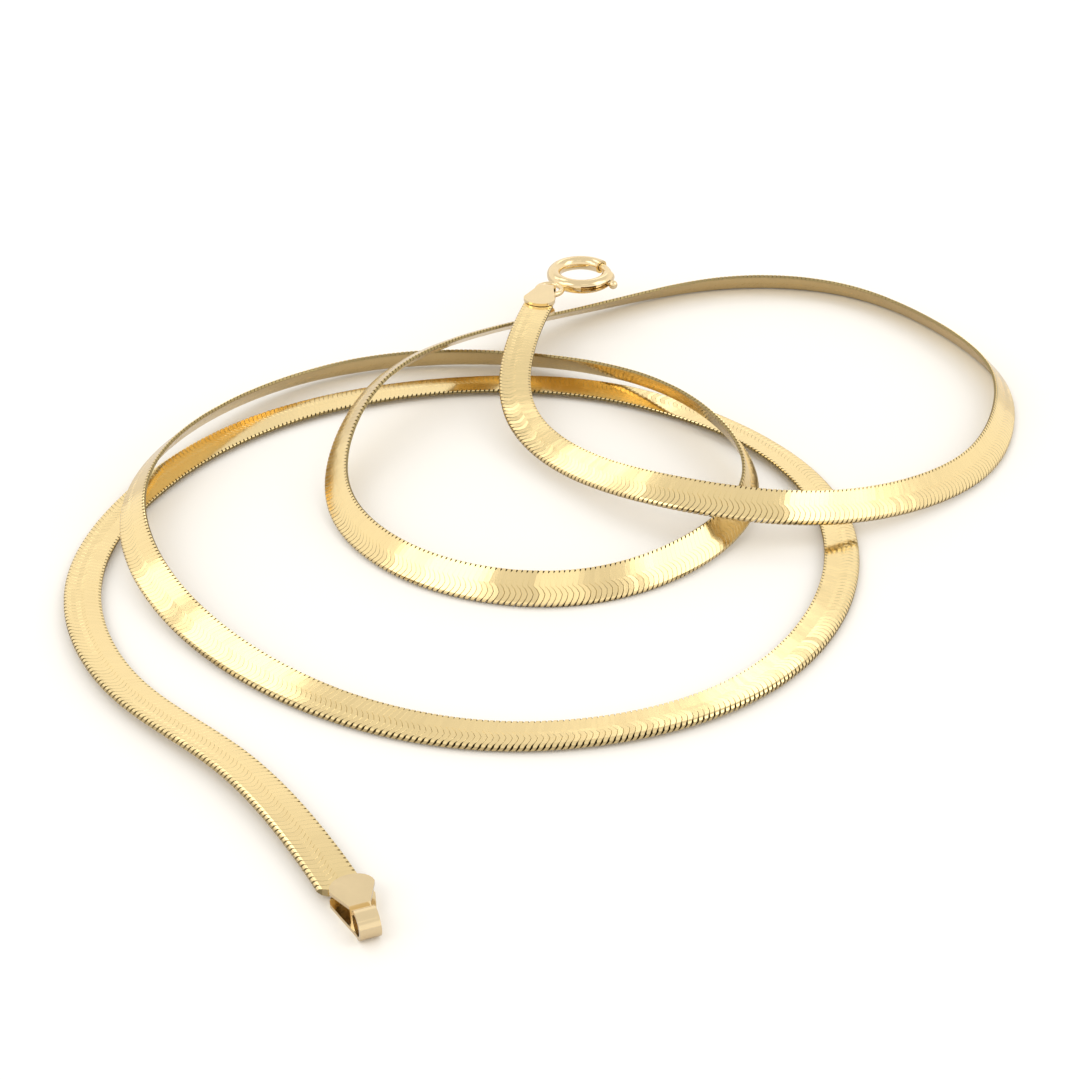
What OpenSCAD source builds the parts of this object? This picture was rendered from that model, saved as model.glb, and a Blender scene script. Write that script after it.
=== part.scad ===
/* [Chain] */
// Width of the flat strip
strip_w = 3; // [2.6:0.1:3.2]
// Thickness of the flat strip
strip_t = 0.75; // [0.6:0.05:0.8]
// Width of the bevel along each edge, across the strip
bevel_w = 0.35; // [0.1:0.05:0.5]
// Depth of the bevel, through the thickness
bevel_t = 0.2; // [0.05:0.05:0.25]
// Clear space at the seam where the two lengths of chain meet
seam_gap = 0.1; // [0.05:0.05:0.3]
// Rings of the swept strip in each span of the route
span_rings = 8; // [6:1:12]

/* [End fittings] */
// Thickness of the folded sheet
sheet_t = 0.3; // [0.25:0.05:0.4]
// Clear space between the folded sheet and the strip in it
sheet_gap = 0.05; // [0.02:0.01:0.1]
// Widest part of the plate, at the strip's end
plate_w = 3.2; // [3.1:0.1:4]
// Length of the plate's rounded back, over the strip
plate_back = 1.2; // [1:0.1:2]
// Width of the neck and of the eyelet at its tip
neck_w = 1.5; // [1.2:0.1:1.8]
// Bore radius of the eyelet
eye_r = 0.75; // [0.7:0.05:0.9]
// Strip end to eyelet centre, at the free end
tab_reach = 3.3; // [2.6:0.1:4]
// How far the tab sits to one side of the strip's end
tab_shift = 0.5; // [0:0.1:0.8]
// How far the tab is turned on the strip's end
tab_turn = -8; // [-12:1:12]
// Strip end to eyelet centre, at the clasp end
clasp_reach = 2.6; // [2:0.1:3]

/* [Spring ring] */
// Outer diameter of the ring
ring_d = 7; // [6.4:0.1:7.6]
// Diameter of the ring's tube
tube_d = 1.4; // [1.3:0.05:1.6]
// Bore of the tube
bore_d = 0.92; // [0.88:0.02:1]
// Diameter of the sliding tongue
tongue_d = 0.8; // [0.7:0.02:0.84]
// Mouth of the ring, as an angle
mouth_deg = 50; // [40:1:60]
// Travel of the trigger, as an angle
travel_deg = 50; // [30:1:55]
// Diameter of the trigger's round head
head_d = 0.9; // [0.8:0.05:1.1]
// Wire of the small tag ring soldered to the spring ring
tag_wire_d = 0.55; // [0.45:0.05:0.7]
// Middle radius of the tag ring
tag_r = 1.25; // [1.2:0.05:1.4]
// Turn of the spring ring about its centre, seen from above
ring_heading = 40; // [20:5:60]

/* [Hidden] */
gold = "gold";
pale_gold = "khaki";

// Half the flat width between the bevels, and how the height eases where the tilt passes through zero
flat_half = strip_w / 2 - bevel_w;
ease = 0.02;

// How high a fitting's fold lifts the strip end that it holds
fold_h = sheet_t + sheet_gap - flat_half * ease;

// Route of the strip from the clasp to the free end, as the points of a smooth curve that runs near them
// columns: x, y, clear height of the lowest edge, tilt that raises the inner edge
ROUTE = [
    [0, 45.5, 4.6, 0],
    [-3.2, 35.5, 4.4, 0],
    [-5.5, 25.5, 3.8, 0],
    [-5.5, 16.5, 1.6, 15],
    [0, 9, 0.8, 30],
    [8, 0.4, 3.5, 32],
    [18, -2.1, 3.1, 40],
    [28, 3.1, 0.6, 40],
    [37, 10, 0, 35],
    [41, 19.5, 0, 45],
    [42, 28.5, 0, 50],
    [37, 39, 0, 40],
    [29, 47.5, 0, 40],
    [15.5, 48.5, 0, 45],
    [2.5, 42, 0, 30],
    [-9.5, 31.5, 2.9, 25],
    [-18.5, 19, 5, 38],
    [-22, 9, 0.5, 45],
    [-19.5, -0.5, 0, 50],
    [-11.5, -8, 0, 45],
    [-0.5, -10, 0, 40],
    [9, -5.5, 0, 45],
    [16, 3, 0.3, 65],
    [15.5, 11.9, 1.8, 55],
    [8.6, 23.4, 1.8, 45],
    [-3.4, 30.4, 0.3, 42],
    [-17, 31, 0, 52],
    [-29, 25.5, 0.3, 38],
    [-37.5, 12, 1.7, 45],
    [-39, -1, 1.5, 40],
    [-32, -14, 0.2, 20],
    [-19.5, -24.5, 0, 5],
    [-5.5, -28.5, 0, 0],
    [8.5, -25.5, 0, -5],
    [17.5, -18, 0, 0],
    [23, -6.5, 0, 5],
    [23, 6.5, 0, 3],
    [16.5, 17.3, 0, 10],
    [5, 25.8, 0, -10],
    [-10, 27.5, 0, 2],
    [-25, 23, 0, -2],
    [-35.5, 13.5, 0, -9],
    [-41.5, 0, 0, 5],
    [-41, -12, 0, -10],
    [-35, -23, 0, -10],
    [-25.5, -30, fold_h, -10],
    [-19, -39.5, fold_h, -5],
    [-16.5, -44, fold_h, 0],
    [-14, -48.5, fold_h, 5]
];
spans = len(ROUTE) - 3;
// Place of the seam, counted in spans from the clasp end
seam_at = 34.4;
// Length of one span near the seam
seam_span = 13.5;
seam_half = seam_gap / 2 / seam_span;

// Smooth curve through the route: weights of four neighbouring points at t from 0 to 1
function weights(t) = [
    pow(1 - t, 3) / 6,
    (3 * pow(t, 3) - 6 * pow(t, 2) + 4) / 6,
    (-3 * pow(t, 3) + 3 * pow(t, 2) + 3 * t + 1) / 6,
    pow(t, 3) / 6
];
function span_of(u) = min(floor(max(u, 0)), spans - 1);
function route_at(u) =
    let (i = span_of(u), w = weights(u - i))
    w[0] * ROUTE[i] + w[1] * ROUTE[i + 1] + w[2] * ROUTE[i + 2] + w[3] * ROUTE[i + 3];

// Height of the strip's middle above its lowest edge
function half_height(tilt) = max(
    flat_half * norm([sin(tilt), ease]) + strip_t / 2 * cos(tilt),
    strip_w / 2 * abs(sin(tilt)) + (strip_t / 2 - bevel_t) * cos(tilt)
);
function middle_at(u) = let (r = route_at(u)) [r.x, r.y, r[2] + half_height(r[3])];
function unit(v) = v / norm(v);
// Part of a span over which the strip's direction is taken
step = 0.02;
function along(u) = unit(middle_at(u + step) - middle_at(u - step));

// Corners of the strip's section
// columns: across towards the inner edge, up through the thickness
SECTION = [
    [strip_w / 2, -strip_t / 2 + bevel_t],
    [strip_w / 2, strip_t / 2 - bevel_t],
    [flat_half, strip_t / 2],
    [-flat_half, strip_t / 2],
    [-strip_w / 2, strip_t / 2 - bevel_t],
    [-strip_w / 2, -strip_t / 2 + bevel_t],
    [-flat_half, -strip_t / 2],
    [flat_half, -strip_t / 2]
];
corners = len(SECTION);
function section_at(u) =
    let (
        p = middle_at(u),
        d = along(u),
        level = unit([-d.y, d.x, 0]),
        up = cross(d, level),
        tilt = route_at(u)[3],
        across = level * cos(tilt) + up * sin(tilt),
        top = up * cos(tilt) - level * sin(tilt)
    )
    [for (s = SECTION) p + across * s.x + top * s.y];

// One length of the strip between two places on the route
module strip(from, to) {
    count = ceil((to - from) * span_rings);
    points = [for (i = [0:count]) each section_at(from + (to - from) * i / count)];
    sides = [
        for (i = [0:count - 1], j = [0:corners - 1])
            let (a = i * corners + j, b = i * corners + (j + 1) % corners)
            each [[a, a + corners, b], [b, a + corners, b + corners]]
    ];
    start_face = [for (j = [0:corners - 1]) j];
    end_face = [for (j = [corners - 1:-1:0]) count * corners + j];
    polyhedron(points, concat(sides, [start_face, end_face]));
}

module chain_clasp_side() {
    color(gold) strip(0, seam_at - seam_half);
}

module chain_tab_side() {
    color(gold) strip(seam_at + seam_half, spans);
}

// Folded sheet that grips a strip end: X runs out of the strip, and the strip ends at X = 0
// Where the upper plate narrows to the neck, counted back from the eyelet's centre
neck_back = 1.5;
// Angle between the points of the plate's rounded back
back_step = 15;
// How far the tab's widest line sits beyond the strip's end
tab_out = 0.8;
module plate_outline(neck_x) {
    neck = [[neck_x, neck_w / 2], [neck_x, -neck_w / 2]];
    back = [for (a = [-90:back_step:90]) [-plate_back * cos(a), plate_w / 2 * sin(a)]];
    polygon(concat(back, neck));
}

// Side view of the fold: the lower leg runs straight to the eyelet, and the upper leg comes down to it.
// Seen from above, the lower leg narrows all the way to the eyelet's centre.
fold_in = strip_t / 2 + sheet_gap;
fold_out = fold_in + sheet_t;
eye_up = eye_r + sheet_t - fold_out;
module fold_profile(reach) {
    neck_x = reach - neck_back;
    leg_x = neck_x - sheet_t;
    pinch_x = reach - eye_r - sheet_t / 2;
    pinch_top = -fold_out + 2 * sheet_t;
    difference() {
        union() {
            translate([reach, eye_up]) circle(r = eye_r + sheet_t, $fn = 48);
            polygon([
                [leg_x, fold_in],
                [leg_x, fold_out],
                [neck_x, fold_out],
                [pinch_x, pinch_top],
                [reach, -fold_in],
                [reach, -fold_out],
                [leg_x, -fold_out],
                [leg_x, -fold_in],
                [pinch_x - sheet_t, -fold_in],
                [neck_x - sheet_t / 2, fold_in]
            ]);
        }
        translate([reach, eye_up]) circle(r = eye_r, $fn = 48);
    }
}

module folded_fitting(reach) {
    translate([0, 0, fold_in]) linear_extrude(sheet_t) plate_outline(reach - neck_back);
    translate([0, 0, -fold_out]) linear_extrude(sheet_t) plate_outline(reach);
    rotate([90, 0, 0]) linear_extrude(neck_w, center = true) fold_profile(reach);
}

// Places its children at a strip end, with X out of the strip
module at_strip_end(u, outward) {
    d = along(u) * outward;
    translate(middle_at(u)) rotate([0, -asin(d.z), atan2(d.y, d.x)]) children();
}

module clasp_fitting() {
    color(pale_gold) at_strip_end(0, -1) rotate([180, 0, 0]) folded_fitting(clasp_reach);
}

module tab_fitting() {
    color(pale_gold)
        at_strip_end(spans, 1)
        translate([tab_out, tab_shift, 0])
        rotate([0, 0, tab_turn])
        folded_fitting(tab_reach);
}

// Spring ring in its own frame: centre at the origin, flat on XY, its tag ring near the -X side
ring_r = (ring_d - tube_d) / 2;
// As angles: the trigger's head when shut, the ends of its tongue, and the end of the socket for its tip
trigger_at = -76;
tongue_from = -102;
tongue_to = 7;
socket_to = 12;
// Spare travel past each end of the slot and of the bores, as an angle
end_room = 5;
// Neck between the tongue and its head, the slot that it slides in, and the clear space under the head
neck_d = 0.4;
slot_w = 0.54;
head_gap = 0.05;
module arc_tube(from, to, d) {
    rotate([0, 0, from])
        rotate_extrude(angle = to - from, $fn = 96)
            translate([ring_r, 0]) circle(d = d, $fn = 32);
}

module trigger_slot() {
    slot_from = trigger_at - travel_deg - end_room;
    slot_to = trigger_at + end_room;
    rotate([0, 0, slot_from])
        rotate_extrude(angle = slot_to - slot_from, $fn = 96)
            translate([ring_r + bore_d / 4, -slot_w / 2]) square([tube_d, slot_w]);
}

// Middle of the tag ring, from the centre of the spring ring: how far, and which way
tag_far = ring_r + tube_d / 2 + tag_r;
tag_at = 187;
module spring_ring_body() {
    difference() {
        union() {
            arc_tube(0, 360 - mouth_deg, tube_d);
            rotate([0, 0, tag_at])
                translate([tag_far, 0, 0])
                rotate_extrude($fn = 48)
                translate([tag_r, 0])
                circle(d = tag_wire_d, $fn = 24);
        }
        arc_tube(tongue_from - travel_deg - end_room, end_room - mouth_deg, bore_d);
        arc_tube(-end_room, socket_to, bore_d);
        trigger_slot();
    }
}

module trigger_body() {
    arc_tube(tongue_from, tongue_to, tongue_d);
    head_far = tube_d / 2 + head_gap + head_d / 2;
    rotate([0, 0, trigger_at]) {
        translate([ring_r, 0, 0]) rotate([0, 90, 0]) cylinder(h = head_far, d = neck_d, $fn = 24);
        translate([ring_r + head_far, 0, 0]) sphere(d = head_d, $fn = 32);
    }
}

// The tag ring hangs in the clasp fitting's eyelet, and the spring ring lies level beyond it
start_dir = -along(0);
eye_pos = middle_at(0) + start_dir * clasp_reach - [0, 0, eye_up];
tag_dir = unit([start_dir.x, start_dir.y, 0]);
tag_pos = eye_pos + tag_dir * tag_r;
ring_pos = tag_pos - tag_far * [cos(ring_heading + tag_at), sin(ring_heading + tag_at), 0];
module at_ring() {
    translate(ring_pos) rotate([0, 0, ring_heading]) children();
}

module spring_ring() {
    color(gold) at_ring() spring_ring_body();
}

module trigger() {
    color(pale_gold) at_ring() trigger_body();
}

chain_clasp_side();
chain_tab_side();
clasp_fitting();
tab_fitting();
spring_ring();
trigger();
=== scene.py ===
"""Looks of a herringbone chain necklace in loose loops: close-set links, fittings, pale studio stage."""

import math

import bpy
import numpy as np
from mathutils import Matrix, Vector


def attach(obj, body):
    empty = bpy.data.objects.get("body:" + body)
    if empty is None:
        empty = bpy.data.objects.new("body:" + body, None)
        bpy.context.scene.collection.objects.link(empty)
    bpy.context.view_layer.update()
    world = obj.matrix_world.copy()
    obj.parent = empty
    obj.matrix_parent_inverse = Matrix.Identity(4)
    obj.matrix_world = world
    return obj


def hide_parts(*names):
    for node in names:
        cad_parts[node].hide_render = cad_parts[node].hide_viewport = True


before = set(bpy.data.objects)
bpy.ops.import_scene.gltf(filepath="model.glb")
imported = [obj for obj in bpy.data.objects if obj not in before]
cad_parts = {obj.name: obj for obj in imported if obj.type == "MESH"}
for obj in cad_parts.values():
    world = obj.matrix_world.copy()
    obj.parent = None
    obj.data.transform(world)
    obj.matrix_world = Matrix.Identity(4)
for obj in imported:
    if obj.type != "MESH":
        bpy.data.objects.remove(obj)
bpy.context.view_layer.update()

bl_info = {
    "name": "Herringbone necklace",
    "version": (1, 0, 0),
    "blender": (4, 5, 0),
    "location": "3D View > Sidebar > Necklace",
    "description": "Links, fittings and stage for a herringbone chain necklace",
    "category": "Object",
}

# How high a fitting's fold lifts the strip end that it holds, in metres
FOLD_LIFT = 0.000327

# Route of the strip from the clasp to the free end, as the points of a smooth curve that runs near them
# columns: x, y, clear height of the lowest edge, in metres, and the tilt that raises the inner edge,
# in degrees
ROUTE = [
    (0, 0.0455, 0.0046, 0),
    (-0.0032, 0.0355, 0.0044, 0),
    (-0.0055, 0.0255, 0.0038, 0),
    (-0.0055, 0.0165, 0.0016, 15),
    (0, 0.009, 0.0008, 30),
    (0.008, 0.0004, 0.0035, 32),
    (0.018, -0.0021, 0.0031, 40),
    (0.028, 0.0031, 0.0006, 40),
    (0.037, 0.01, 0, 35),
    (0.041, 0.0195, 0, 45),
    (0.042, 0.0285, 0, 50),
    (0.037, 0.039, 0, 40),
    (0.029, 0.0475, 0, 40),
    (0.0155, 0.0485, 0, 45),
    (0.0025, 0.042, 0, 30),
    (-0.0095, 0.0315, 0.0029, 25),
    (-0.0185, 0.019, 0.005, 38),
    (-0.022, 0.009, 0.0005, 45),
    (-0.0195, -0.0005, 0, 50),
    (-0.0115, -0.008, 0, 45),
    (-0.0005, -0.01, 0, 40),
    (0.009, -0.0055, 0, 45),
    (0.016, 0.003, 0.0003, 65),
    (0.0155, 0.0119, 0.0018, 55),
    (0.0086, 0.0234, 0.0018, 45),
    (-0.0034, 0.0304, 0.0003, 42),
    (-0.017, 0.031, 0, 52),
    (-0.029, 0.0255, 0.0003, 38),
    (-0.0375, 0.012, 0.0017, 45),
    (-0.039, -0.001, 0.0015, 40),
    (-0.032, -0.014, 0.0002, 20),
    (-0.0195, -0.0245, 0, 5),
    (-0.0055, -0.0285, 0, 0),
    (0.0085, -0.0255, 0, -5),
    (0.0175, -0.018, 0, 0),
    (0.023, -0.0065, 0, 5),
    (0.023, 0.0065, 0, 3),
    (0.0165, 0.0173, 0, 10),
    (0.005, 0.0258, 0, -10),
    (-0.01, 0.0275, 0, 2),
    (-0.025, 0.023, 0, -2),
    (-0.0355, 0.0135, 0, -9),
    (-0.0415, 0, 0, 5),
    (-0.041, -0.012, 0, -10),
    (-0.035, -0.023, 0, -10),
    (-0.0255, -0.03, FOLD_LIFT, -10),
    (-0.019, -0.0395, FOLD_LIFT, -5),
    (-0.0165, -0.044, FOLD_LIFT, 0),
    (-0.014, -0.0485, FOLD_LIFT, 5),
]
SPANS = len(ROUTE) - 3
# Place of the seam on the route in spans, the clear space there in metres, and how far the chain's
# first and last link stay back from the strip's ends
SEAM_AT = 34.4
SEAM_GAP = 0.00002
END_TRIM = 0.0004
# Points along each span of the route
SPAN_POINTS = 40
# Bevel along each edge of the strip, across it and through its thickness, in metres, and how the height
# eases where the tilt passes through zero
BEVEL_WIDTH = 0.00035
BEVEL_DEPTH = 0.0002
EASE = 0.02

# Small bends that a worn flat chain keeps, each a hump in the strip's height
# columns: place on the route in spans, height and half length in metres
KINKS = [
    (18.75, 0.00004, 0.0012),
    (19.25, -0.00003, 0.0009),
    (20.9, 0.00005, 0.0012),
]

# One link seen from above, from the inner edge to the outer edge of the strip
# columns: place across (1 is the inner edge), forward offset in metres, share of the pitch that is metal
# in the upper face and in the lower face, height of each face as a share of half the strip's thickness,
# backward lean of the lower face in metres, painted shade in the joint and on the lower face and edge ends
INNER_HALF = [
    (1.0, 0.00016, 0.66, 0.92, 0.86, -0.25, -0.00008, 0.5, 0.8),
    (0.975, 0.00015, 0.64, 0.94, 1.0, -0.2, -0.00008, 0.6, 0.2),
    (0.89, 0.0001, 0.7, 0.95, 1.0, -0.12, -0.00008, 0.7, 0.1),
    (0.82, 0.00006, 0.97, 0.98, 1.0, -0.08, -0.00007, 0.5, 0.05),
    (0.70, -0.00003, 1.0, 1.0, 1.0, 0.0, -0.00004, 0.2, 0.0),
    (0.10, -0.00027, 1.0, 1.0, 1.0, 0.38, 0.0, 0.2, 0.0),
]
OUTER_HALF = [
    (0.10, -0.00024, 1.0, 1.0, 1.0, 0.38, 0.0, 0.2, 0.0),
    (-0.10, 0.00006, 0.985, 1.0, 1.0, 0.51, 0.0, 0.3, 0.0),
    (-0.36, 0.00024, 0.98, 1.0, 1.0, 0.68, 0.0, 0.3, 0.0),
    (-0.62, 0.00013, 0.98, 1.0, 1.0, 0.85, 0.00004, 0.3, 0.0),
    (-0.83, -0.00006, 0.95, 0.95, 1.0, 0.74, 0.0001, 0.5, 0.5),
    (-0.93, -0.00018, 0.78, 0.82, 0.84, 0.54, 0.00016, 0.85, 0.5),
    (-1.0, -0.00024, 0.64, 0.7, 0.5, 0.34, 0.0002, 0.85, 0.3),
]
# The last two columns, the painted shade in the joint and on the lower face
JOINT_PAINTED_SHADE, UNDER_PAINTED_SHADE = 7, 8


class NecklaceLinks(bpy.types.PropertyGroup):
    """Sizes of the flat strip and of the links in it."""

    strip_width: bpy.props.FloatProperty(
        name="Strip width",
        description="Width of the flat strip",
        default=0.003,
        precision=4,
        subtype="DISTANCE",
        unit="LENGTH",
    )
    strip_thickness: bpy.props.FloatProperty(
        name="Strip thickness",
        description="Thickness of the flat strip",
        default=0.00075,
        precision=5,
        subtype="DISTANCE",
        unit="LENGTH",
    )
    pitch: bpy.props.FloatProperty(
        name="Link pitch",
        description="Distance from one link to the next along the strip",
        default=0.000458,
        precision=6,
        subtype="DISTANCE",
        unit="LENGTH",
    )
    chamfer: bpy.props.FloatProperty(
        name="Link chamfer",
        description="Width of the soft edge between one link's face and the next",
        default=0.000018,
        precision=6,
        subtype="DISTANCE",
        unit="LENGTH",
    )
    lane_slope: bpy.props.FloatProperty(
        name="Lane slope",
        description="How far the faces of the two lanes lean apart, along the strip",
        default=math.radians(0.5),
        subtype="ANGLE",
        unit="ROTATION",
    )
    shake: bpy.props.FloatProperty(
        name="Link shake",
        description="Largest lean of one link's outer lane from its neighbours'",
        default=math.radians(1.2),
        subtype="ANGLE",
        unit="ROTATION",
    )
    ripple: bpy.props.FloatProperty(
        name="Ripple",
        description="Slow waviness of the strip's face",
        default=math.radians(1.4),
        subtype="ANGLE",
        unit="ROTATION",
    )
    ripple_length: bpy.props.FloatProperty(
        name="Ripple length", description="Links in one wave of the ripple", default=9.0
    )
    seed: bpy.props.IntProperty(name="Seed", description="Seed of the shake and the ripple", default=7)


class NecklaceFinish(bpy.types.PropertyGroup):
    """Colours and polish of the metal."""

    gold: bpy.props.FloatVectorProperty(
        name="Gold",
        description="Colour of the links",
        default=(0.94, 0.76, 0.41),
        size=3,
        subtype="COLOR",
    )
    pale_gold: bpy.props.FloatVectorProperty(
        name="Pale gold",
        description="Colour of the folded fittings, the ring and its trigger",
        default=(0.88, 0.72, 0.45),
        size=3,
        subtype="COLOR",
    )
    # Painted shade: the colour that the joints, the lower face and the edge ends are darkened toward
    painted_shade_colour: bpy.props.FloatVectorProperty(
        name="Painted shade",
        description="Colour deep between the links",
        default=(0.22, 0.17, 0.07),
        size=3,
        subtype="COLOR",
    )


class NecklaceStage(bpy.types.PropertyGroup):
    """Light, table and camera."""

    table: bpy.props.FloatVectorProperty(
        name="Table",
        description="Colour of the table",
        default=(0.93, 0.925, 0.915),
        size=3,
        subtype="COLOR",
    )
    # Painted shade: a darker copy of the table that only the metal's reflections see
    shaded_table_in_metal: bpy.props.FloatVectorProperty(
        name="Table in metal",
        description="Colour of the table as the metal mirrors it",
        default=(0.68, 0.66, 0.66),
        size=3,
        subtype="COLOR",
    )
    fill: bpy.props.FloatProperty(
        name="Fill", description="Soft light from above, which the metal doesn't mirror", default=0.32
    )
    walls: bpy.props.FloatProperty(
        name="Walls", description="Brightness of the room near the horizon", default=1.07
    )
    ceiling: bpy.props.FloatProperty(
        name="Ceiling", description="Brightness of the room overhead", default=0.86
    )
    distance: bpy.props.FloatProperty(
        name="Camera distance",
        description="From the camera to the point that it looks at",
        default=0.1727,
        subtype="DISTANCE",
        unit="LENGTH",
    )
    elevation: bpy.props.FloatProperty(
        name="Camera elevation",
        description="Angle of the camera above the table",
        default=math.radians(33.5),
        subtype="ANGLE",
        unit="ROTATION",
    )


def add(tree, kind, x=0, y=0, **settings):
    """Adds a node to a tree, with its settings."""
    node = tree.nodes.new(kind)
    node.location = (x, y)
    for name, value in settings.items():
        setattr(node, name, value)
    return node


def join(tree, source, target):
    """Links an output socket to an input socket."""
    tree.links.new(source, target)


def shown(sockets, name):
    """The socket of that name which the node's settings show."""
    return next(s for s in sockets if s.name == name and s.enabled)


def input_id(tree, name):
    """Identifier of a tree's input of that name."""
    return next(
        item.identifier
        for item in tree.interface.items_tree
        if item.item_type == "SOCKET" and item.in_out == "INPUT" and item.name == name
    )


def unit(v):
    """Rows of v at length 1."""
    return v / np.linalg.norm(v, axis=1)[:, None]


def route_at(u, links):
    """The strip's middle, its heading, the way its face looks and the distance run, at places in spans."""
    rows = np.array(ROUTE, float)
    span = np.clip(np.floor(u), 0, SPANS - 1).astype(int)
    t = (u - span)[:, None]
    weights = (
        (1 - t) ** 3 / 6,
        (3 * t**3 - 6 * t**2 + 4) / 6,
        (-3 * t**3 + 3 * t**2 + 3 * t + 1) / 6,
        t**3 / 6,
    )
    at = sum(w * rows[span + k] for k, w in enumerate(weights))
    tilt = np.radians(at[:, 3])
    flat_half = links.strip_width / 2 - BEVEL_WIDTH
    half_t = links.strip_thickness / 2
    lean = flat_half * np.sqrt(np.sin(tilt) ** 2 + EASE**2) + half_t * np.cos(tilt)
    edge = links.strip_width / 2 * np.abs(np.sin(tilt)) + (half_t - BEVEL_DEPTH) * np.cos(tilt)
    middle = np.column_stack([at[:, 0], at[:, 1], at[:, 2] + np.maximum(lean, edge)])
    run = np.concatenate([[0], np.cumsum(np.linalg.norm(np.diff(middle, axis=0), axis=1))])
    heading = unit(np.gradient(middle, axis=0))
    level = unit(np.cross([0.0, 0.0, 1.0], heading))
    up = np.cross(heading, level)
    facing = up * np.cos(tilt)[:, None] - level * np.sin(tilt)[:, None]
    for place, height, half in KINKS:
        away = (run - np.interp(place, u, run)) / half
        middle += facing * (height * np.exp(-(away**2)))[:, None]
    heading = unit(np.gradient(middle, axis=0))
    facing = unit(facing - heading * (facing * heading).sum(1)[:, None])
    return middle, heading, facing, run


def route_length(name, start, end, first_trim, last_trim, links):
    """A line along the middle of one length of chain, with its heading and facing kept on its points."""
    u = np.linspace(0, SPANS, SPANS * SPAN_POINTS + 1)
    middle, heading, facing, run = route_at(u, links)
    low, high = np.interp([start, end], u, run) + [first_trim, -last_trim]
    inside = run[(run > low) & (run < high)]
    stops = np.concatenate([[low], inside, [high]])
    at_stops = [
        np.column_stack([np.interp(stops, run, part[:, i]) for i in range(3)])
        for part in (middle, heading, facing)
    ]
    mesh = bpy.data.meshes.new(name)
    mesh.from_pydata(at_stops[0].tolist(), [(i, i + 1) for i in range(len(stops) - 1)], [])
    for label, values in (("heading", at_stops[1]), ("facing", at_stops[2])):
        kept = mesh.attributes.new(label, "FLOAT_VECTOR", "POINT")
        kept.data.foreach_set("vector", values.astype(np.float32).ravel())
    line = bpy.data.objects.new(name, mesh)
    bpy.context.scene.collection.objects.link(line)
    return line


def link_shape(links):
    """One link of the strip, as two lanes that lean a little apart. X runs forward, Y to the inner edge."""
    half_w, half_t, half_p = links.strip_width / 2, links.strip_thickness / 2, links.pitch / 2
    # The inner lane's chamfer, as a share of the outer lane's
    inner_softness = 0.3
    points, faces, gap, lane_of = [], [], [], []
    for lane, rows in enumerate((INNER_HALF, OUTER_HALF)):
        slope = math.tan(links.lane_slope) * (0.5 - lane)
        first = len(points)
        soft = links.chamfer * (1.0 if lane else inner_softness)
        for across, offset, upper, lower, high, low, lean, _, _ in rows:
            y, reach, foot = across * half_w, half_p * upper, half_p * lower
            top, bottom = half_t * high, -half_t * low
            section = [
                (offset - foot - lean, bottom),
                (offset - reach, top - soft),
                (offset - reach + soft, top),
                (offset + reach - soft, top),
                (offset + reach, top - soft),
                (offset + foot - lean, bottom),
            ]
            points += [(x, y, z + slope * (x - offset)) for x, z in section]
            lane_of += [lane] * len(section)
        sides = len(section)
        for row in range(len(rows) - 1):
            for i in range(sides):
                a, b = first + row * sides + i, first + row * sides + (i + 1) % sides
                faces.append((a, b, b + sides, a + sides))
                # Painted shade: the walls and chamfers between links take the joint's darkening, and the
                # lower face takes the lower face's
                joint_shade = max(rows[row][JOINT_PAINTED_SHADE], rows[row + 1][JOINT_PAINTED_SHADE])
                under_shade = rows[row][UNDER_PAINTED_SHADE]
                gap.append((joint_shade, joint_shade / 2, 0.0, joint_shade / 2, joint_shade, under_shade)[i])
        last = first + (len(rows) - 1) * sides
        # The end faces at the strip's edges take the painted shade of the lower face
        faces += [tuple(range(first, first + sides))[::-1], tuple(range(last, last + sides))]
        gap += [rows[0][UNDER_PAINTED_SHADE], rows[-1][UNDER_PAINTED_SHADE]]
    mesh = bpy.data.meshes.new("link")
    mesh.from_pydata(points, [], faces)
    places = np.array(points, np.float32).ravel()
    mesh.attributes.new("gap", "FLOAT", "FACE").data.foreach_set("value", gap)
    mesh.attributes.new("lane", "FLOAT", "POINT").data.foreach_set("value", [float(v) for v in lane_of])
    mesh.attributes.new("local", "FLOAT_VECTOR", "POINT").data.foreach_set("vector", places)
    mesh.update()
    link = bpy.data.objects.new("link", mesh)
    bpy.context.scene.collection.objects.link(link)
    return link


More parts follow.
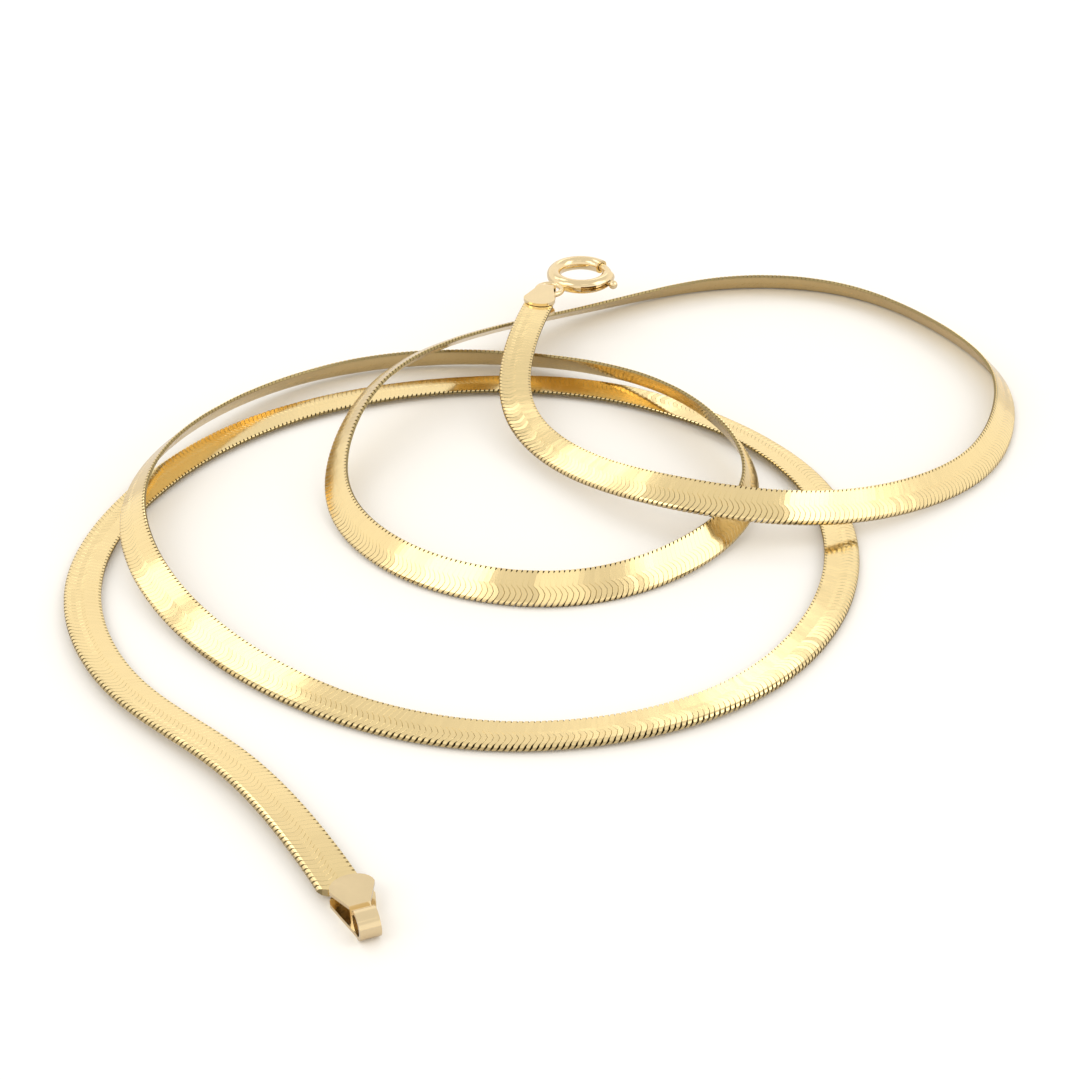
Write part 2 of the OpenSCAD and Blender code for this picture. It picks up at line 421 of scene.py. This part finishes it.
def link_tree():
    """Geometry nodes that set close links along a line, lean each a little, and give them their metal."""
    tree = bpy.data.node_groups.get("Herringbone links")
    if tree:
        return tree
    tree = bpy.data.node_groups.new("Herringbone links", "GeometryNodeTree")
    # How far one seed moves the ripple from the next, and the inner lane's share of a link's shake
    seed_step = 31.7
    inner_share = 0.35
    for label, kind in (
        ("Geometry", "Geometry"),
        ("Link", "Object"),
        ("Pitch", "Float"),
        ("Shake", "Float"),
        ("Ripple", "Float"),
        ("Ripple length", "Float"),
        ("Seed", "Int"),
        ("Material", "Material"),
    ):
        tree.interface.new_socket(label, in_out="INPUT", socket_type="NodeSocket" + kind)
    tree.interface.new_socket("Geometry", in_out="OUTPUT", socket_type="NodeSocketGeometry")
    given = add(tree, "NodeGroupInput", -1600, 0)
    # One point for each link along the line, turned to the strip's heading and facing
    curve = add(tree, "GeometryNodeMeshToCurve", -1400, 200)
    spaced = add(tree, "GeometryNodeResampleCurve", -1200, 200, mode="LENGTH")
    join(tree, given.outputs["Geometry"], curve.inputs["Mesh"])
    join(tree, curve.outputs["Curve"], spaced.inputs["Curve"])
    join(tree, given.outputs["Pitch"], shown(spaced.inputs, "Length"))
    heading = add(tree, "GeometryNodeInputNamedAttribute", -1400, -100, data_type="FLOAT_VECTOR")
    heading.inputs["Name"].default_value = "heading"
    facing = add(tree, "GeometryNodeInputNamedAttribute", -1400, -250, data_type="FLOAT_VECTOR")
    facing.inputs["Name"].default_value = "facing"
    turned = add(tree, "FunctionNodeAxesToRotation", -1150, -100, primary_axis="X", secondary_axis="Z")
    join(tree, shown(heading.outputs, "Attribute"), turned.inputs["Primary Axis"])
    join(tree, shown(facing.outputs, "Attribute"), turned.inputs["Secondary Axis"])
    # A slow ripple that leans the links forward and sideways by turns
    index = add(tree, "GeometryNodeInputIndex", -1600, -500)
    start = add(tree, "ShaderNodeMath", -1400, -600, operation="MULTIPLY")
    join(tree, given.outputs["Seed"], start.inputs[0])
    start.inputs[1].default_value = seed_step
    along = add(tree, "ShaderNodeMath", -1400, -450, operation="DIVIDE")
    join(tree, index.outputs["Index"], along.inputs[0])
    join(tree, given.outputs["Ripple length"], along.inputs[1])
    place = add(tree, "ShaderNodeMath", -1230, -500, operation="ADD")
    join(tree, along.outputs[0], place.inputs[0])
    join(tree, start.outputs[0], place.inputs[1])
    wave = add(tree, "ShaderNodeTexNoise", -1060, -450, noise_dimensions="1D")
    wave.inputs["Scale"].default_value = 1.0
    wave.inputs["Detail"].default_value = 2.0
    join(tree, place.outputs[0], wave.inputs["W"])
    middle = add(tree, "ShaderNodeVectorMath", -880, -450, operation="SUBTRACT")
    middle.inputs[1].default_value = (0.5, 0.5, 0.5)
    join(tree, wave.outputs["Color"], middle.inputs[0])
    sized = add(tree, "ShaderNodeVectorMath", -700, -450, operation="SCALE")
    join(tree, middle.outputs[0], sized.inputs[0])
    join(tree, given.outputs["Ripple"], sized.inputs["Scale"])
    flat = add(tree, "ShaderNodeVectorMath", -540, -450, operation="MULTIPLY")
    flat.inputs[1].default_value = (1.0, 1.0, 0.0)
    join(tree, sized.outputs[0], flat.inputs[0])
    leaned = add(tree, "FunctionNodeEulerToRotation", -380, -450)
    join(tree, flat.outputs[0], leaned.inputs["Euler"])
    rotation = add(tree, "FunctionNodeRotateRotation", -900, -100, rotation_space="LOCAL")
    join(tree, turned.outputs["Rotation"], rotation.inputs["Rotation"])
    join(tree, leaned.outputs["Rotation"], rotation.inputs["Rotate By"])
    # The links themselves, each with its number
    link = add(tree, "GeometryNodeObjectInfo", -900, 100)
    join(tree, given.outputs["Link"], link.inputs["Object"])
    placed = add(tree, "GeometryNodeInstanceOnPoints", -650, 200)
    join(tree, spaced.outputs["Curve"], placed.inputs["Points"])
    join(tree, link.outputs["Geometry"], placed.inputs["Instance"])
    join(tree, rotation.outputs["Rotation"], placed.inputs["Rotation"])
    counted = add(tree, "GeometryNodeStoreNamedAttribute", -450, 200, domain="INSTANCE")
    counted.data_type = "FLOAT"
    counted.inputs["Name"].default_value = "link"
    join(tree, placed.outputs["Instances"], counted.inputs["Geometry"])
    number = add(tree, "GeometryNodeInputIndex", -650, 0)
    join(tree, number.outputs["Index"], shown(counted.inputs, "Value"))
    real = add(tree, "GeometryNodeRealizeInstances", -250, 200)
    join(tree, counted.outputs["Geometry"], real.inputs["Geometry"])
    # A random lean for each lane of each link, larger in the outer lane
    which = add(tree, "GeometryNodeInputNamedAttribute", -650, -700, data_type="FLOAT")
    which.inputs["Name"].default_value = "link"
    lane = add(tree, "GeometryNodeInputNamedAttribute", -650, -850, data_type="FLOAT")
    lane.inputs["Name"].default_value = "lane"
    local = add(tree, "GeometryNodeInputNamedAttribute", -650, -1000, data_type="FLOAT_VECTOR")
    local.inputs["Name"].default_value = "local"
    doubled = add(tree, "ShaderNodeMath", -450, -700, operation="MULTIPLY_ADD")
    doubled.inputs[1].default_value = 2.0
    join(tree, shown(which.outputs, "Attribute"), doubled.inputs[0])
    join(tree, shown(lane.outputs, "Attribute"), doubled.inputs[2])
    chance = add(tree, "FunctionNodeRandomValue", -250, -700, data_type="FLOAT")
    shown(chance.inputs, "Min").default_value = -1.0
    shown(chance.inputs, "Max").default_value = 1.0
    join(tree, doubled.outputs[0], chance.inputs["ID"])
    join(tree, given.outputs["Seed"], chance.inputs["Seed"])
    share = add(tree, "ShaderNodeMapRange", -450, -850)
    share.inputs["To Min"].default_value = inner_share
    join(tree, shown(lane.outputs, "Attribute"), share.inputs["Value"])
    swing = add(tree, "ShaderNodeMath", -60, -700, operation="MULTIPLY")
    join(tree, shown(chance.outputs, "Value"), swing.inputs[0])
    join(tree, share.outputs["Result"], swing.inputs[1])
    slope = add(tree, "ShaderNodeMath", 100, -700, operation="MULTIPLY")
    join(tree, swing.outputs[0], slope.inputs[0])
    join(tree, given.outputs["Shake"], slope.inputs[1])
    parts = add(tree, "ShaderNodeSeparateXYZ", -250, -1000)
    join(tree, shown(local.outputs, "Attribute"), parts.inputs[0])
    rise = add(tree, "ShaderNodeMath", 260, -700, operation="MULTIPLY")
    join(tree, slope.outputs[0], rise.inputs[0])
    join(tree, parts.outputs["X"], rise.inputs[1])
    lifted = add(tree, "ShaderNodeVectorMath", 420, -500, operation="SCALE")
    join(tree, shown(facing.outputs, "Attribute"), lifted.inputs[0])
    join(tree, rise.outputs[0], lifted.inputs["Scale"])
    moved = add(tree, "GeometryNodeSetPosition", 600, 200)
    join(tree, real.outputs["Geometry"], moved.inputs["Geometry"])
    join(tree, lifted.outputs[0], moved.inputs["Offset"])
    metal = add(tree, "GeometryNodeSetMaterial", 800, 200)
    join(tree, moved.outputs["Geometry"], metal.inputs["Geometry"])
    join(tree, given.outputs["Material"], metal.inputs["Material"])
    result = add(tree, "NodeGroupOutput", 1000, 200)
    join(tree, metal.outputs["Geometry"], result.inputs["Geometry"])
    return tree


def polish_group():
    """Shared shader group: fine polishing marks, as a roughness, a height and a faint change of tone."""
    group = bpy.data.node_groups.get("Polish marks")
    if group:
        return group
    group = bpy.data.node_groups.new("Polish marks", "ShaderNodeTree")
    # Scale of the broad haze next to the marks'
    haze_scale = 0.12
    group.interface.new_socket("Vector", in_out="INPUT", socket_type="NodeSocketVector")
    for label in ("Scale", "Smoothest", "Roughest"):
        group.interface.new_socket(label, in_out="INPUT", socket_type="NodeSocketFloat")
    for label in ("Roughness", "Height", "Tone"):
        group.interface.new_socket(label, in_out="OUTPUT", socket_type="NodeSocketFloat")
    given = add(group, "NodeGroupInput", -900, 0)
    marks = add(group, "ShaderNodeTexNoise", -600, 200)
    marks.inputs["Detail"].default_value = 4.0
    marks.inputs["Roughness"].default_value = 0.65
    join(group, given.outputs["Vector"], marks.inputs["Vector"])
    join(group, given.outputs["Scale"], marks.inputs["Scale"])
    broad = add(group, "ShaderNodeMath", -750, -200, operation="MULTIPLY")
    broad.inputs[1].default_value = haze_scale
    join(group, given.outputs["Scale"], broad.inputs[0])
    haze = add(group, "ShaderNodeTexNoise", -600, -200)
    haze.inputs["Detail"].default_value = 3.0
    join(group, given.outputs["Vector"], haze.inputs["Vector"])
    join(group, broad.outputs[0], haze.inputs["Scale"])
    both = add(group, "ShaderNodeMath", -350, 0, operation="MULTIPLY")
    join(group, marks.outputs["Fac"], both.inputs[0])
    join(group, haze.outputs["Fac"], both.inputs[1])
    rough = add(group, "ShaderNodeMapRange", -150, 0)
    rough.inputs["From Min"].default_value = 0.1
    rough.inputs["From Max"].default_value = 0.45
    join(group, both.outputs[0], rough.inputs["Value"])
    join(group, given.outputs["Smoothest"], rough.inputs["To Min"])
    join(group, given.outputs["Roughest"], rough.inputs["To Max"])
    result = add(group, "NodeGroupOutput", 100, 0)
    join(group, rough.outputs["Result"], result.inputs["Roughness"])
    join(group, marks.outputs["Fac"], result.inputs["Height"])
    join(group, haze.outputs["Fac"], result.inputs["Tone"])
    return group


def metal_material(
    name, colour, scale, smoothest, roughest, bump, stretch=(1.0, 1.0, 1.0), painted_shade_colour=None
):
    """Polished gold with fine marks, which stretch draws out along one way of the piece.

    With a painted shade colour it is the links' metal: the marks follow each link, and painted shade
    darkens the joints, the lower face and the edge ends.
    """
    # Shift of the marks from one link to the next, in metres; darkest and lightest tone; how much
    # rougher the faces with the most painted shade are; depth of the marks in metres
    link_shift = 0.0037
    dark, light = 0.94, 1.04
    dullest = 0.35
    mark_depth = 0.00001
    material = bpy.data.materials.new(name)
    material.use_nodes = True
    tree = material.node_tree
    shader = tree.nodes["Principled BSDF"]
    shader.inputs["Metallic"].default_value = 1.0
    if painted_shade_colour:
        local = add(tree, "ShaderNodeAttribute", -1600, 0, attribute_name="local")
        count = add(tree, "ShaderNodeAttribute", -1600, -250, attribute_name="link")
        apart = add(tree, "ShaderNodeMath", -1400, -250, operation="MULTIPLY")
        apart.inputs[1].default_value = link_shift
        join(tree, count.outputs["Fac"], apart.inputs[0])
        shifted = add(tree, "ShaderNodeVectorMath", -1200, 0, operation="ADD")
        join(tree, local.outputs["Vector"], shifted.inputs[0])
        join(tree, apart.outputs[0], shifted.inputs[1])
        place = shifted.outputs[0]
    else:
        place = add(tree, "ShaderNodeTexCoord", -1400, 0).outputs["Object"]
    turned = add(tree, "ShaderNodeMapping", -1000, 0)
    turned.inputs["Scale"].default_value = stretch
    join(tree, place, turned.inputs["Vector"])
    marks = add(tree, "ShaderNodeGroup", -750, 0, node_tree=polish_group())
    marks.inputs["Scale"].default_value = scale
    marks.inputs["Smoothest"].default_value = smoothest
    marks.inputs["Roughest"].default_value = roughest
    join(tree, turned.outputs["Vector"], marks.inputs["Vector"])
    tone = add(tree, "ShaderNodeMix", -450, 200, data_type="RGBA")
    shown(tone.inputs, "A").default_value = (*[dark * c for c in colour], 1.0)
    shown(tone.inputs, "B").default_value = (*[min(1.0, light * c) for c in colour], 1.0)
    join(tree, marks.outputs["Tone"], shown(tone.inputs, "Factor"))
    painted = shown(tone.outputs, "Result")
    roughness = marks.outputs["Roughness"]
    if painted_shade_colour:
        # Painted shade in the joints, on the lower face and on the edge ends: darker toward the shade
        # colour, and rougher
        gap = add(tree, "ShaderNodeAttribute", -700, -500, attribute_name="gap")
        shaded = add(tree, "ShaderNodeMix", -200, 200, data_type="RGBA")
        shown(shaded.inputs, "B").default_value = (*painted_shade_colour, 1.0)
        join(tree, painted, shown(shaded.inputs, "A"))
        join(tree, gap.outputs["Fac"], shown(shaded.inputs, "Factor"))
        painted = shown(shaded.outputs, "Result")
        dull = add(tree, "ShaderNodeMapRange", -450, -400)
        dull.inputs["To Min"].default_value = 0.0
        dull.inputs["To Max"].default_value = dullest
        join(tree, gap.outputs["Fac"], dull.inputs["Value"])
        rougher = add(tree, "ShaderNodeMath", -200, -200, operation="ADD", use_clamp=True)
        join(tree, roughness, rougher.inputs[0])
        join(tree, dull.outputs["Result"], rougher.inputs[1])
        roughness = rougher.outputs[0]
    join(tree, painted, shader.inputs["Base Color"])
    join(tree, roughness, shader.inputs["Roughness"])
    relief = add(tree, "ShaderNodeBump", -200, -600)
    relief.inputs["Strength"].default_value = bump
    relief.inputs["Distance"].default_value = mark_depth
    join(tree, marks.outputs["Height"], relief.inputs["Height"])
    join(tree, relief.outputs["Normal"], shader.inputs["Normal"])
    return material


def finished_mesh(piece):
    """Turns a piece with live modifiers into a plain mesh, and takes the modifiers off."""
    depsgraph = bpy.context.evaluated_depsgraph_get()
    mesh = bpy.data.meshes.new_from_object(
        piece.evaluated_get(depsgraph), preserve_all_data_layers=True, depsgraph=depsgraph
    )
    mesh.name = piece.name
    piece.modifiers.clear()
    piece.data = mesh


class NECKLACE_OT_chain(bpy.types.Operator):
    """Set close herringbone links along both lengths of the chain"""

    bl_idname = "necklace.chain"
    bl_label = "Chain links"

    def execute(self, context):
        scene = context.scene
        links, finish = scene.necklace_links, scene.necklace_finish
        link = link_shape(links)
        tree = link_tree()
        gold = metal_material(
            "Link gold",
            finish.gold,
            scale=9000,
            smoothest=0.09,
            roughest=0.22,
            bump=0.1,
            stretch=(1.0, 0.12, 1.0),
            painted_shade_colour=finish.painted_shade_colour,
        )
        seam_trim = SEAM_GAP / 2 + links.pitch / 2
        lengths = (
            ("chain_clasp_side_links", "chain_clasp_side", 0, SEAM_AT, END_TRIM, seam_trim),
            ("chain_tab_side_links", "chain_tab_side", SEAM_AT, SPANS, seam_trim, END_TRIM),
        )
        for name, node, start, end, first_trim, last_trim in lengths:
            line = route_length(name, start, end, first_trim, last_trim, links)
            modifier = line.modifiers.new("Links", "NODES")
            modifier.node_group = tree
            for label, value in (
                ("Link", link),
                ("Pitch", links.pitch),
                ("Shake", math.tan(links.shake)),
                ("Ripple", links.ripple),
                ("Ripple length", links.ripple_length),
                ("Seed", links.seed + int(start)),
                ("Material", gold),
            ):
                modifier[input_id(tree, label)] = value
            finished_mesh(line)
            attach(line, "necklace")
            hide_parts(node)
        bpy.data.objects.remove(link)
        return {"FINISHED"}


class NECKLACE_OT_fittings(bpy.types.Operator):
    """Give the folded fittings, the spring ring and its trigger their polished gold"""

    bl_idname = "necklace.fittings"
    bl_label = "Clasp and tab"

    def execute(self, context):
        finish = context.scene.necklace_finish
        plate = metal_material(
            "Fitting gold", finish.pale_gold, scale=5000, smoothest=0.1, roughest=0.24, bump=0.25
        )
        ring = metal_material(
            "Ring gold", finish.pale_gold, scale=4000, smoothest=0.08, roughest=0.24, bump=0.15
        )
        finishes = {"clasp_fitting": plate, "tab_fitting": plate, "spring_ring": ring, "trigger": plate}
        for node, material in finishes.items():
            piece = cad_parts[node]
            piece.data.materials.clear()
            piece.data.materials.append(material)
        return {"FINISHED"}


# Half the table's side, how far the lights hang from its middle, and how wide the overhead light looks
TABLE_HALF = 1.5
LIGHT_DISTANCE = 0.9
FILL_ANGLE = math.radians(120)
# Where the wall starts to turn into the ceiling, and where it has done so, as elevations
WALL_TOP = math.radians(30)
CEILING_EDGE = math.radians(44)
ROOM_COLOUR = (1.0, 0.955, 0.885, 1.0)
# The camera's lens in mm, the width of its film in mm, and the point that it looks at in metres
LENS = 66.67
FILM = 36.0
AIM = (-0.003, 0.0, 0.0)
# Softboxes round the table
# columns: name, azimuth and elevation in degrees, width and height in degrees, brightness, colour
SOFTBOXES = [
    ("left_box", -40, 55, 22, 9, 1.4, (1.0, 0.99, 0.95)),
    ("left_low_box", -46, 43.5, 7, 13, 1.35, (1.0, 0.99, 0.93)),
    ("back_box", 9, 34.5, 8, 6, 1.35, (1.0, 0.99, 0.95)),
    ("right_box", 98, 51, 24, 17, 1.45, (1.0, 0.99, 0.97)),
    ("right_low_box", 103, 31, 36, 22, 1.14, (1.0, 0.98, 0.9)),
    ("left_front_box", -125, 48.5, 22, 19, 1.4, (1.0, 0.99, 0.95)),
    ("left_front_low_box", -109, 31, 24, 20, 1.12, (1.0, 0.98, 0.9)),
    ("left_side_box", -60, 39.5, 9, 13, 1.1, (1.0, 0.99, 0.93)),
    ("front_top_box", 163, 60, 18, 8, 0.38, (1.0, 0.98, 0.88)),
]


class NECKLACE_OT_stage(bpy.types.Operator):
    """Lay the pale table, hang the soft studio lights and set up the camera"""

    bl_idname = "necklace.stage"
    bl_label = "Stage"

    def execute(self, context):
        scene = context.scene
        stage = scene.necklace_stage
        scene.view_settings.view_transform = "Standard"
        mesh = bpy.data.meshes.new("table")
        corners = ((-1, -1), (1, -1), (1, 1), (-1, 1))
        points = [(x * TABLE_HALF, y * TABLE_HALF, 0) for x, y in corners]
        mesh.from_pydata(points, [], [(0, 1, 2, 3)])
        table = bpy.data.objects.new("table", mesh)
        scene.collection.objects.link(table)
        mesh.materials.append(self.table_material(stage))
        scene.world = self.white_room(stage)
        for softbox in SOFTBOXES:
            scene.collection.objects.link(self.softbox(*softbox))
        fill = bpy.data.lights.new("fill", "SUN")
        fill.energy = stage.fill
        fill.angle = FILL_ANGLE
        overhead = bpy.data.objects.new("fill", fill)
        overhead.location = (0.0, 0.0, LIGHT_DISTANCE)
        overhead.visible_glossy = False
        scene.collection.objects.link(overhead)
        camera = bpy.data.cameras.new("camera")
        camera.lens = LENS
        camera.sensor_width = FILM
        camera.clip_start = 0.01
        camera.clip_end = 10.0
        holder = bpy.data.objects.new("camera", camera)
        back = Vector((0.0, -math.cos(stage.elevation), math.sin(stage.elevation)))
        holder.location = Vector(AIM) + back * stage.distance
        holder.rotation_euler = (math.pi / 2 - stage.elevation, 0.0, 0.0)
        scene.collection.objects.link(holder)
        scene.camera = holder
        return {"FINISHED"}

    @staticmethod
    def softbox(name, azimuth, elevation, wide, high, brightness, colour):
        """A rectangular light that faces the table's middle. Brightness is what its lit face shows."""
        az, el = math.radians(azimuth), math.radians(elevation)
        out = Vector((math.sin(az) * math.cos(el), math.cos(az) * math.cos(el), math.sin(el)))
        light = bpy.data.lights.new(name, "AREA")
        light.shape = "RECTANGLE"
        light.size = 2 * LIGHT_DISTANCE * math.tan(math.radians(wide / 2))
        light.size_y = 2 * LIGHT_DISTANCE * math.tan(math.radians(high / 2))
        light.energy = brightness * math.pi * light.size * light.size_y
        light.color = colour
        lamp = bpy.data.objects.new(name, light)
        lamp.location = out * LIGHT_DISTANCE
        lamp.rotation_euler = out.to_track_quat("Z", "Y").to_euler()
        return lamp

    @staticmethod
    def white_room(stage):
        """White walls that fade to a duller ceiling."""
        world = bpy.data.worlds.new("White room")
        world.use_nodes = True
        tree = world.node_tree
        room = tree.nodes["Background"]
        room.inputs["Color"].default_value = ROOM_COLOUR
        way = add(tree, "ShaderNodeTexCoord", -800, 0)
        parts = add(tree, "ShaderNodeSeparateXYZ", -600, 0)
        join(tree, way.outputs["Generated"], parts.inputs[0])
        fade = add(tree, "ShaderNodeMapRange", -400, 0, interpolation_type="SMOOTHSTEP")
        fade.inputs["From Min"].default_value = math.sin(WALL_TOP)
        fade.inputs["From Max"].default_value = math.sin(CEILING_EDGE)
        fade.inputs["To Min"].default_value = stage.walls
        fade.inputs["To Max"].default_value = stage.ceiling
        join(tree, parts.outputs["Z"], fade.inputs["Value"])
        join(tree, fade.outputs["Result"], room.inputs["Strength"])
        return world

    @staticmethod
    def table_material(stage):
        """Matt white table that shows a little less bright in the metal than to the eye, as a painted shade
        on its mirrored copy.
        """
        material = bpy.data.materials.new("Matt white table")
        material.use_nodes = True
        tree = material.node_tree
        shader = tree.nodes["Principled BSDF"]
        shader.inputs["Roughness"].default_value = 0.9
        shader.inputs["Specular IOR Level"].default_value = 0.1
        # Painted shade: rays from the metal see the darker table colour, the camera sees the white one
        ray = add(tree, "ShaderNodeLightPath", -500, 0)
        tint = add(tree, "ShaderNodeMix", -250, 0, data_type="RGBA")
        shown(tint.inputs, "A").default_value = (*stage.shaded_table_in_metal, 1.0)
        shown(tint.inputs, "B").default_value = (*stage.table, 1.0)
        join(tree, ray.outputs["Is Camera Ray"], shown(tint.inputs, "Factor"))
        join(tree, shown(tint.outputs, "Result"), shader.inputs["Base Color"])
        return material


class NECKLACE_PT_panel(bpy.types.Panel):
    """Lists the necklace's sizes and the operators that build it"""

    bl_idname = "NECKLACE_PT_panel"
    bl_label = "Herringbone necklace"
    bl_space_type = "VIEW_3D"
    bl_region_type = "UI"
    bl_category = "Necklace"

    def draw(self, context):
        layout = self.layout
        scene = context.scene
        for group in (scene.necklace_links, scene.necklace_finish, scene.necklace_stage):
            column = layout.column()
            for name in group.__annotations__:
                column.prop(group, name)
        for operator in (NECKLACE_OT_chain, NECKLACE_OT_fittings, NECKLACE_OT_stage):
            layout.operator(operator.bl_idname)


CLASSES = (
    NecklaceLinks,
    NecklaceFinish,
    NecklaceStage,
    NECKLACE_OT_chain,
    NECKLACE_OT_fittings,
    NECKLACE_OT_stage,
    NECKLACE_PT_panel,
)


def register():
    """Adds the classes and the scene's settings."""
    for item in CLASSES:
        bpy.utils.register_class(item)
    bpy.types.Scene.necklace_links = bpy.props.PointerProperty(type=NecklaceLinks)
    bpy.types.Scene.necklace_finish = bpy.props.PointerProperty(type=NecklaceFinish)
    bpy.types.Scene.necklace_stage = bpy.props.PointerProperty(type=NecklaceStage)


def unregister():
    """Takes the settings and the classes away again."""
    del bpy.types.Scene.necklace_stage
    del bpy.types.Scene.necklace_finish
    del bpy.types.Scene.necklace_links
    for item in reversed(CLASSES):
        bpy.utils.unregister_class(item)


def main():
    """Builds the necklace and its stage."""
    register()
    bpy.ops.necklace.chain()
    bpy.ops.necklace.fittings()
    bpy.ops.necklace.stage()


if __name__ == "__main__":
    main()
